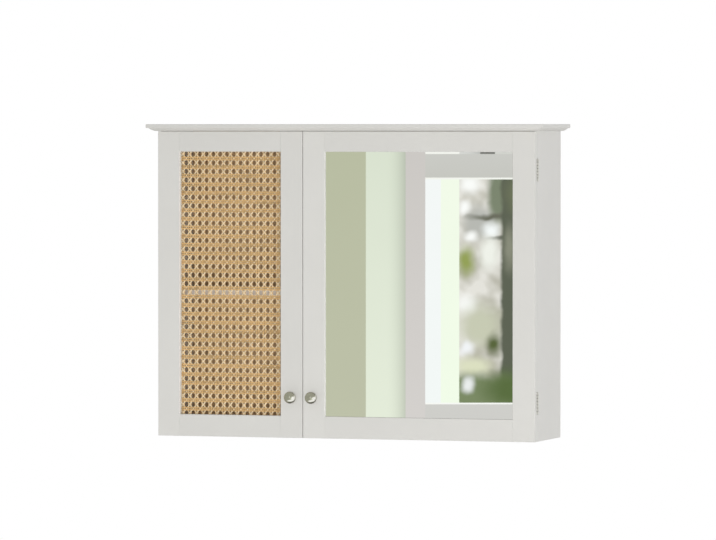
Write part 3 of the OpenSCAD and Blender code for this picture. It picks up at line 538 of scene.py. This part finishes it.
class CABINET_OT_ease_hinges(bpy.types.Operator):
    """Rounds the ends of the hinge knuckles, so that a hinge shows as a row of beads"""
    bl_idname = "cabinet.ease_hinges"
    bl_label = "Ease Hinges"

    def execute(self, context):
        paint, knuckle = context.scene.cabinet_paint, context.scene.cabinet_hinge
        plate = plated_metal("satin nickel hinge", paint.hinge, roughness=0.50, grit=2 * MM)
        # Satin plate also scatters the light of the lamps, which show in no reflection
        hold(plate, Metallic=0.8)
        axes = {joint["child"]: Vector(joint["pos_m"]) for joint in frame["record"]["behaviour"]["joints"]}
        for side in ("left", "right"):
            axis = axes[f"{side}_door"]
            for level in ("upper", "lower"):
                for leaf, body in (("case", "cabinet"), ("door", f"{side}_door")):
                    name = f"{side}_{level}_hinge_{leaf}_leaf"
                    self.ease_leaf(name, axis, body, plate, knuckle)
        return {"FINISHED"}

    def ease_leaf(self, name, axis, body, plate, knuckle):
        """A merged copy of a leaf with fuller knuckles, the outer edges of their ends rounded."""
        widest_bore, slack = 2.0 * MM, 0.05 * MM
        bm = bmesh.new()
        bm.from_mesh(frame["nodes"][name].data)
        bmesh.ops.remove_doubles(bm, verts=bm.verts, dist=0.001 * MM)
        bmesh.ops.dissolve_limit(bm, angle_limit=math.radians(1), verts=bm.verts, edges=bm.edges)

        def reach(vert):
            return math.hypot(vert.co.x - axis.x, vert.co.y - axis.y)

        knuckle_radius = min(gap for gap in map(reach, bm.verts) if gap > widest_bore)
        for vert in bm.verts:
            if abs(reach(vert) - knuckle_radius) < slack:
                outward = Vector((vert.co.x - axis.x, vert.co.y - axis.y, 0)).normalized()
                vert.co += outward * knuckle.fullness
        knuckle_radius += knuckle.fullness
        ends = [edge for edge in bm.edges
                if all(abs(reach(vert) - knuckle_radius) < slack for vert in edge.verts)
                and abs(edge.verts[0].co.z - edge.verts[1].co.z) < 0.01 * MM
                and edge.calc_face_angle(0.0) > math.radians(60)]
        bmesh.ops.bevel(
            bm, geom=ends, offset=knuckle.easing, segments=4, profile=0.5, affect="EDGES")
        shade_smooth(bm, math.radians(40))
        new_piece(f"{name}_eased", bm, plate, body, name)


class CABINET_OT_turn_knobs(bpy.types.Operator):
    """Turns both knobs: a foot, a waist that flares to a rounded rim, and a domed face"""
    bl_idname = "cabinet.turn_knobs"
    bl_label = "Turn Knobs"

    def execute(self, context):
        paint, knob = context.scene.cabinet_paint, context.scene.cabinet_knob
        nickel = plated_metal("polished nickel knob", paint.nickel, roughness=0.07, grit=4 * MM)
        # Round the rim, where the plate is seen at a flat angle, a dark tint makes it reflect less: a
        # painted dark rim that stands in for shade there
        hold(nickel, Specular_Tint=(*linear("#8E8C84"), 1))
        for door in ("left", "right"):
            low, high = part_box(f"{door}_knob")
            radius = (high[0] - low[0]) / 2
            reach = high[1] - low[1]
            axis = Vector(((low[0] + high[0]) / 2, high[1], (low[2] + high[2]) / 2))
            dome_radius = (radius ** 2 + knob.dome_height ** 2) / (2 * knob.dome_height)
            # The shoulder touches the rim's side and the dome, so it ends this far round the dome
            inner_radius = dome_radius - knob.shoulder
            dome_turn = math.degrees(math.asin((radius - knob.shoulder) / inner_radius))
            shoulder_height = reach - dome_radius + inner_radius * math.cos(math.radians(dome_turn))
            rim_back = shoulder_height - knob.rim_thickness + knob.shoulder
            profile = [Vector((0, 0)), Vector((knob.foot_radius, 0))]
            profile += arc((knob.foot_radius - knob.foot_rounding, knob.foot_height - knob.foot_rounding),
                           knob.foot_rounding, 0, 90, 4)
            profile += bow((knob.waist_radius, knob.waist_start), (radius - knob.lip, rim_back),
                           -knob.waist_bow, 12)
            profile += arc((radius - knob.lip, rim_back + knob.lip), knob.lip, -60, 0, 8)
            profile += arc(
                (radius - knob.shoulder, shoulder_height), knob.shoulder, 0, 90 - dome_turn, 8)
            profile += arc((0, reach - dome_radius), dome_radius, 90 - dome_turn, 90, 20)[1:]
            bm = bmesh.new()
            chain = [bm.verts.new(axis + Vector((p.x, -p.y, 0))) for p in profile]
            edges = [bm.edges.new(pair) for pair in zip(chain, chain[1:])]
            bmesh.ops.spin(bm, geom=chain + edges, cent=axis, axis=(0, 1, 0), angle=math.tau,
                           steps=72, use_merge=True)
            bmesh.ops.remove_doubles(bm, verts=bm.verts, dist=0.005 * MM)
            bmesh.ops.recalc_face_normals(bm, faces=bm.faces)
            shade_smooth(bm, math.radians(40))
            new_piece(
                f"{door}_turned_knob", bm, nickel, f"{door}_door", f"{door}_knob")
        return {"FINISHED"}


class CABINET_OT_set_stage(bpy.types.Operator):
    """Sets the floor, the light, what the mirror reflects and the camera"""
    bl_idname = "cabinet.set_stage"
    bl_label = "Set Stage"

    def execute(self, context):
        stage = context.scene.cabinet_stage
        scene = context.scene
        scene.view_settings.view_transform = "Standard"

        # The world is white where a camera, a mirror or glass sees it, and softer as light
        world = bpy.data.worlds.new("soft daylight")
        scene.world = world
        world.use_nodes = True
        tree = world.node_tree
        rays = add(tree, "LightPath")
        seen = rays.outputs["Is Camera Ray"]
        for kind in ("Is Glossy Ray", "Is Transmission Ray"):
            seen = add(tree, "Math", {0: seen, 1: rays.outputs[kind]}, operation="MAXIMUM").outputs[0]
        strength = add(tree, "MapRange", {
            "Value": seen, "To Min": stage.daylight, "To Max": 1.0}).outputs["Result"]
        tree.links.new(strength, tree.nodes["Background"].inputs["Strength"])
        tree.nodes["Background"].inputs["Color"].default_value = (1, 1, 1, 1)

        self.lay_floor()
        main_lamps = (
            self.hang_lamp("low soft lamp", place=(0.6, -3.2, -0.45), width=7.0, height=1.6,
                           power=stage.main_lamp),
            self.hang_lamp("side lamp", place=(3.6, -1.6, -0.6), width=1.6, height=1.6,
                           power=stage.side_lamp))
        # The knobs throw no shadow of these lamps on the doors, as in light from all sides
        knobs = self.group("knobs without shadows", ("left_turned_knob", "right_turned_knob"))
        for lamp in main_lamps:
            self.pass_through(lamp, knobs)
        # A lamp at the right that lights only the stiles whose inner edges face it
        edge_lamp = self.hang_lamp("edge lamp", place=(3.4, -0.6, 0.2), width=1.0, height=1.0,
                                   power=stage.edge_lamp)
        edge_lamp.light_linking.receiver_collection = self.group(
            "stiles lit from the right", ("left_door_hinge_stile", "right_door_lock_stile"))
        # Warm light that filters through the thin cane, most of it to the shelf and the side,
        # which lie close behind it. The numbers are each lamp's share of the inner lamp's power
        cane = self.group("cane without shadows", (
            "cane_uprights", "cane_crosswise", "cane_rising_slants", "cane_falling_slants"))
        boards = ("back_panel", "centre_partition", "bottom_panel")
        for name, members, share, tint in (
                ("boards behind the cane", boards, 1, "#FFE4CC"),
                ("shelf behind the cane", ("left_shelf",), 2.5, "#FFE4CC"),
                ("side behind the cane", ("left_side_panel",), 3, "#FFDDBB")):
            inner_lamp = self.hang_lamp(
                f"lamp on the {name}", place=(0.5, -3.2, -0.3), width=3.0, height=1.6,
                power=share * stage.inner_lamp)
            inner_lamp.data.color = linear(tint)
            inner_lamp.light_linking.receiver_collection = self.group(name, members)
            self.pass_through(inner_lamp, cane)
        self.hang_cards(stage)
        self.place_camera(stage)
        return {"FINISHED"}

    def group(self, name, members):
        """A collection of objects for a lamp."""
        collection = bpy.data.collections.new(name)
        for member in members:
            collection.objects.link(bpy.data.objects[member])
        return collection

    def pass_through(self, lamp, collection):
        """Lets a lamp's light through the objects of a collection."""
        for member in collection.collection_objects:
            member.light_linking.link_state = "EXCLUDE"
        lamp.light_linking.blocker_collection = collection

    def lay_floor(self):
        """A plain pale floor well below the cabinet."""
        material, tree, shader = new_material("pale floor", Roughness=0.8)
        space = pattern_space(tree)
        cloud = add(tree, "TexNoise", {"Vector": space, "Scale": 1 / (333 * MM)})
        shade = add(tree, "ValToRGB", {"Fac": cloud.outputs["Fac"]}, stops=[
            (0.3, linear("#EFEEEC")), (0.7, linear("#F4F3F1"))])
        tree.links.new(shade.outputs["Color"], shader.inputs["Base Color"])
        half_side, level = 6.0, -1.6
        bm = bmesh.new()
        bmesh.ops.create_grid(bm, x_segments=1, y_segments=1, size=half_side)
        bmesh.ops.translate(bm, verts=bm.verts, vec=(0, 0, level))
        mesh_object("floor", bm, material)

    def hang_lamp(self, name, place, width, height, power):
        """A large soft lamp that faces the cabinet and shows in no reflection."""
        lamp = bpy.data.lights.new(name, "AREA")
        lamp.shape = "RECTANGLE"
        lamp.size, lamp.size_y = width, height
        lamp.energy = power
        holder = bpy.data.objects.new(name, lamp)
        place = Vector(place)
        holder.matrix_world = Matrix.Translation(place) @ place.to_track_quat("Z", "Y").to_matrix().to_4x4()
        holder.visible_glossy = False
        bpy.context.scene.collection.objects.link(holder)
        return holder

    def hang_cards(self, stage):
        """Soft coloured cards that only the mirror and the polished metal see.

        They stand in front, square to the camera's reflection, and round the sides.
        """
        across = Vector((math.cos(stage.azimuth), -math.sin(stage.azimuth), 0))
        back = Vector((math.sin(stage.azimuth), math.cos(stage.azimuth), 0))
        middle = Vector((-0.860, -2.917, 0))
        turn = Matrix((across, back, Vector((0, 0, 1)))).transposed().to_4x4()
        # Edges in metres that several cards share
        low_end, high_end, right_end = -0.50, 0.30, 0.60
        frame_left, garden_left, garden_low, garden_high = 0.166, 0.249, -0.3780, 0.1670
        frame_low, frame_high, head_low, head_high = -0.3820, 0.1715, 0.2290, 0.2360
        # Left, right, bottom and top edge, the colours at the top and the bottom, and how much
        # darker the right edge is than the left
        bands = [
            (-0.130, 0.021, low_end, high_end, "#BCBFA6", "#C1C3AD", 0.0),
            (0.021, 0.068, low_end, high_end, "#DDE4D4", "#EAF0E0", 0.0),
            (0.068, 0.118, low_end, high_end, "#DDE4D4", "#EAF0E0", 0.30),
            (0.118, frame_left, low_end, high_end, "#CFCAC8", "#D9D4D3", 0.0),
            (frame_left, garden_left, head_low, head_high, "#F8F8F4", "#F8F8F4", 0.0),
            (garden_left, 0.300, head_low, head_high, "#DADAD8", "#DADAD8", 0.25),
            (0.300, 0.336, head_low, head_high, "#7C7C78", "#7C7C78", 0.0),
            (0.336, right_end, head_low, head_high, "#D6D6D2", "#D6D6D2", 0.0),
            (frame_left, right_end, frame_high, head_low, "#CECDCA", "#CAC9C5", 0.0),
            (frame_left, right_end, garden_high, frame_high, "#F8F8F4", "#F8F8F4", 0.0),
            (frame_left, 0.204, garden_low, garden_high, "#F8FAFC", "#F8FBFC", 0.0),
            (0.204, garden_left, garden_low, garden_high, "#F6FDEE", "#F6FFEE", 0.0),
            (frame_left, right_end, frame_low, garden_low, "#FCFCFA", "#FCFCFA", 0.0),
            (frame_left, right_end, low_end, frame_low, "#D3D1CF", "#D0CECC", 0.0),
        ]
        for i, (left, right, bottom, top, *tones, fall) in enumerate(bands):
            edges = left, right, bottom, top
            card = self.card(f"reflection_card_{i}", *edges,
                             self.card_glow(f"reflection card {i}", *edges, *tones, fall))
            card.matrix_world = Matrix.Translation(middle) @ turn
        # Middle across and up, half width and half height in metres, softness and colour
        garden = [
            (0.298, 0.062, 0.060, 0.060, 0.7, "#BBBBB7"), (0.276, 0.156, 0.040, 0.036, 0.9, "#FFFFFF"),
            (0.262, 0.098, 0.022, 0.024, 0.9, "#FFFFFF"), (0.345, 0.130, 0.036, 0.100, 0.6, "#7F8873"),
            (0.330, 0.076, 0.090, 0.012, 0.9, "#6E6F62"), (0.326, 0.042, 0.030, 0.034, 0.9, "#FAFDFF"),
            (0.276, 0.030, 0.026, 0.022, 0.9, "#FFFFFF"), (0.340, 0.022, 0.036, 0.009, 0.8, "#6E7066"),
            (0.266, -0.034, 0.034, 0.056, 0.9, "#97A35C"), (0.322, -0.012, 0.036, 0.060, 0.8, "#F4F5EF"),
            (0.268, -0.142, 0.040, 0.040, 0.9, "#FFFFFF"), (0.300, -0.190, 0.080, 0.080, 0.8, "#CBCDB8"),
            (0.268, -0.246, 0.026, 0.026, 0.9, "#F6F7FC"), (0.280, -0.290, 0.070, 0.036, 0.8, "#E0E2C6"),
            (0.334, -0.236, 0.030, 0.044, 0.9, "#5B673F"), (0.445, -0.040, 0.100, 2.000, 0.12, "#606557"),
            (0.372, 0.000, 0.024, 0.080, 0.9, "#8C8E7E"), (0.400, 0.130, 0.060, 0.080, 0.9, "#73795F"),
            (0.280, -0.365, 0.240, 0.076, 0.5, "#7E8C68"), (0.380, -0.345, 0.110, 0.070, 0.8, "#5C6F43"),
            (0.272, -0.334, 0.024, 0.030, 0.9, "#EEF0F2"),
        ]
        mottled = self.card(
            "mottled_card", garden_left, right_end, garden_low, garden_high,
            self.patched_glow("mottled card", ("#B8B5A9", "#E9E6E1"), garden, (0.016, 0, 0.024)))
        mottled.matrix_world = Matrix.Translation(middle) @ turn

        # Wide cards behind and round these show in the knobs: dim, with a bright soft corner
        # low at the right, and dark behind, which draws the knobs' rims
        dim, dark, grey = ("#989889", "#A2A294"), ("#504E4A", "#56544F"), ("#E2E1DB", "#E8E7E1")
        half_width, floor_level, ceiling, front_depth, rear_depth = 3.2, -1.5, 1.7, 1.75, 4.2
        corner = [(1.7, -1.3, 2.1, 1.9, 0.9, "#DDE2CC"), (2.6, -0.9, 1.75, 1.6, 0.45, "#FFFFFF")]
        wide = self.card("wide_card", -half_width, half_width, floor_level, ceiling,
                         self.patched_glow("wide card", dim, corner, (0, 0, 0)))
        wide.matrix_world = Matrix.Translation(middle) @ turn @ Matrix.Translation((0, -20 * MM, 0))
        right_patch = [(0.45, -0.5, 0.75, 1.4, 0.3, "#FFFFFF")]
        low_patch = [(1.2, 0.85, 2.6, 0.85, 0.3, "#FFFFFF")]
        # Side, place in metres, the axis that the card turns about, half its width there, the
        # bright patches on its front part and the colours of its rear part
        walls = [
            ("left", (-half_width, 0, 0), "Z", ceiling, [], dark),
            ("right", (half_width, 0, 0), "Z", ceiling, right_patch, grey),
            ("low", (0, 0, floor_level), "X", half_width, low_patch, dark),
            ("high", (0, 0, ceiling), "X", half_width, [], dark),
        ]
        for side, place, axis, half, patches, behind in walls:
            angle = math.pi / 2 if axis == "Z" else -math.pi / 2
            for part, start, end, ground in (
                    ("front", 0.0, front_depth, dim), ("rear", front_depth, rear_depth, behind)):
                glow = self.patched_glow(f"{side} {part} card", ground, patches, (0, 0, 0))
                edges = (start, end, -half, half) if axis == "Z" else (-half, half, start, end)
                card = self.card(f"{side}_{part}_card", *edges, glow)
                card.matrix_world = (Matrix.Translation(middle) @ turn @ Matrix.Translation(place)
                                     @ Matrix.Rotation(angle, 4, axis))

    def card(self, name, left, right, bottom, top, material):
        """A flat card, upright in X and Z, that only glossy rays see."""
        bm = bmesh.new()
        bmesh.ops.create_grid(
            bm, x_segments=1, y_segments=1, size=0.5, matrix=Matrix.Rotation(math.pi / 2, 4, "X"))
        bmesh.ops.scale(bm, verts=bm.verts, vec=(right - left, 1, top - bottom))
        bmesh.ops.translate(bm, verts=bm.verts, vec=((left + right) / 2, 0, (top + bottom) / 2))
        card = mesh_object(name, bm, material)
        for kind in ("camera", "diffuse", "transmission", "volume_scatter", "shadow"):
            setattr(card, f"visible_{kind}", False)
        return card

    def card_glow(self, name, left, right, bottom, top, high_colour, low_colour, fall):
        """An even glow that shades from top to bottom and falls off towards the right."""
        material, tree = new_glow(name)
        place = add(tree, "SeparateXYZ", {0: add(tree, "TexCoord").outputs["Object"]})
        height = add(tree, "MapRange", {
            "Value": place.outputs["Z"], "From Min": bottom, "From Max": top})
        ramp = add(tree, "ValToRGB", {"Fac": height.outputs["Result"]}, stops=[
            (0.0, linear(low_colour)), (1.0, linear(high_colour))])
        side = add(tree, "MapRange", {
            "Value": place.outputs["X"], "From Min": left, "From Max": right})
        bend = add(tree, "Math", {0: side.outputs["Result"], 1: 2.0}, operation="POWER")
        dim = add(tree, "Math", {0: bend.outputs["Value"], 1: -fall, 2: 1.0}, operation="MULTIPLY_ADD")
        glow = add(tree, "Emission", {
            "Color": ramp.outputs["Color"], "Strength": dim.outputs["Value"]})
        add(tree, "OutputMaterial", {"Surface": glow.outputs["Emission"]})
        return material

    def patched_glow(self, name, ground, patches, sway):
        """A cloudy glow between two colours with soft patches, whose outlines sway so many metres."""
        material, tree = new_glow(name)
        space = add(tree, "TexCoord").outputs["Object"]
        sway_size, cloud_size = 45.5 * MM, 71.4 * MM
        drift = add(tree, "TexNoise", {"Vector": space, "Scale": 1 / sway_size, "Detail": 2.0})
        shift = add(tree, "VectorMath", {0: drift.outputs["Color"], 1: (0.5, 0.5, 0.5)},
                    operation="SUBTRACT")
        bent = add(tree, "VectorMath", {0: shift.outputs["Vector"], 1: sway, 2: space},
                   operation="MULTIPLY_ADD")
        clouds = add(tree, "TexNoise", {"Vector": space, "Scale": 1 / cloud_size, "Detail": 2.0})
        colour = add(tree, "ValToRGB", {"Fac": clouds.outputs["Fac"]}, stops=[
            (0.35, linear(ground[0])), (0.62, linear(ground[1]))]).outputs["Color"]
        for x, z, width, height, softness, tint in patches:
            scaled = add(tree, "Mapping", {
                "Vector": bent.outputs["Vector"], "Location": (-x / width, 0, -z / height),
                "Scale": (1 / width, 0, 1 / height)})
            ball = add(tree, "TexGradient", {"Vector": scaled.outputs["Vector"]},
                       gradient_type="SPHERICAL")
            cover = add(tree, "MapRange", {"Value": ball.outputs["Fac"], "From Max": softness},
                        interpolation_type="SMOOTHSTEP")
            colour = add(tree, "Mix", {
                "Factor": cover.outputs["Result"], 6: colour, 7: (*linear(tint), 1)},
                data_type="RGBA").outputs[2]
        glow = add(tree, "Emission", {"Color": colour})
        add(tree, "OutputMaterial", {"Surface": glow.outputs["Emission"]})
        return material

    def place_camera(self, stage):
        """The camera stands to the right of the front, just above the middle, far away."""
        camera = bpy.data.cameras.new("camera")
        camera.lens = stage.lens
        camera.sensor_width = 36.0
        camera.clip_end = 100.0
        holder = bpy.data.objects.new("camera", camera)
        target = Vector((0.060, -0.280, 0.0242))
        back = Vector((
            math.sin(stage.azimuth) * math.cos(stage.elevation),
            -math.cos(stage.azimuth) * math.cos(stage.elevation),
            math.sin(stage.elevation)))
        holder.matrix_world = (Matrix.Translation(target + back * stage.distance)
                               @ back.to_track_quat("Z", "Y").to_matrix().to_4x4())
        bpy.context.scene.collection.objects.link(holder)
        bpy.context.scene.camera = holder


class CABINET_PT_sidebar(bpy.types.Panel):
    """Lists the steps that dress the cabinet, and the settings"""
    bl_idname = "CABINET_PT_sidebar"
    bl_label = "Mirror Cabinet"
    bl_space_type = "VIEW_3D"
    bl_region_type = "UI"
    bl_category = "Cabinet"

    def draw(self, context):
        for step in steps:
            self.layout.operator(step.bl_idname)
        for group, kind in settings.items():
            self.layout.separator()
            for name in kind.__annotations__:
                self.layout.prop(getattr(context.scene, group), name)


settings = {
    "cabinet_paint": CabinetPaint,
    "cabinet_cane": CaneWeave,
    "cabinet_knob": TurnedKnob,
    "cabinet_hinge": HingeKnuckle,
    "cabinet_stage": CabinetStage,
}
steps = (
    CABINET_OT_paint_boards,
    CABINET_OT_weave_cane,
    CABINET_OT_ease_hinges,
    CABINET_OT_turn_knobs,
    CABINET_OT_set_stage,
)


def register():
    for cls in (*settings.values(), *steps, CABINET_PT_sidebar):
        bpy.utils.register_class(cls)
    for name, group in settings.items():
        setattr(bpy.types.Scene, name, PointerProperty(type=group))


def unregister():
    for name in settings:
        delattr(bpy.types.Scene, name)
    for cls in reversed((*settings.values(), *steps, CABINET_PT_sidebar)):
        bpy.utils.unregister_class(cls)


def main():
    register()
    bpy.ops.cabinet.paint_boards()
    bpy.ops.cabinet.weave_cane()
    bpy.ops.cabinet.ease_hinges()
    bpy.ops.cabinet.turn_knobs()
    bpy.ops.cabinet.set_stage()


if __name__ == "__main__":
    main()
